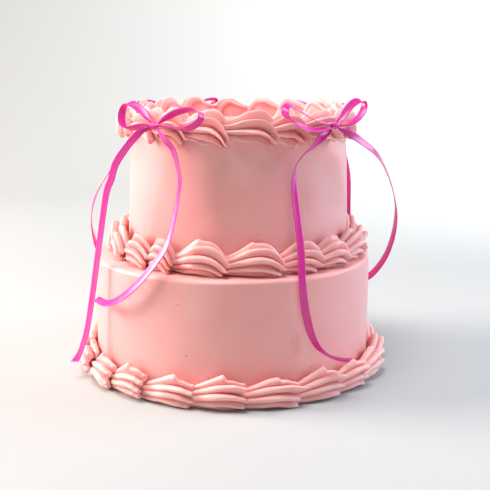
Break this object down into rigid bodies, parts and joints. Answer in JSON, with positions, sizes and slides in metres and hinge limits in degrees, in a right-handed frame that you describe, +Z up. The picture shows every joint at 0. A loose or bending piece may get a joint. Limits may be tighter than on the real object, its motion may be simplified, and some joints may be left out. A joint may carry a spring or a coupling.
{
  "type": "lambeth cake",
  "caption": "Tiered round buttercream cake with piped shell borders and satin ribbon bows with hanging tails.",
  "frame": {"origin": "centre of the bottom tier's flat base, on the surface that the cake stands on", "axes": "+Z up through the bottom tier's middle; -Y is the front, as the reference picture shows the cake; +X to the right of that view"},
  "size_m": [0.2669, 0.2575, 0.224],
  "materials": {
    "buttercream": "soft pink buttercream, matte with a faint sheen",
    "ribbon": "bright pink satin ribbon"
  },
  "bodies": {
    "root": {"bottom_tier": "buttercream", "top_tier": "buttercream", "bottom_border": "buttercream", "middle_border": "buttercream", "top_border": "buttercream", "bow_front_left": "ribbon", "bow_front_right": "ribbon", "bow_back_right": "ribbon", "bow_back_left": "ribbon", "tail_front_left_outer": "ribbon", "tail_front_left_inner": "ribbon", "tail_front_right_inner": "ribbon", "tail_front_right_outer": "ribbon", "tail_back_left_outer": "ribbon", "tail_back_left_inner": "ribbon", "tail_back_right_outer": "ribbon", "tail_back_right_inner": "ribbon"}
  },
  "joints": []
}
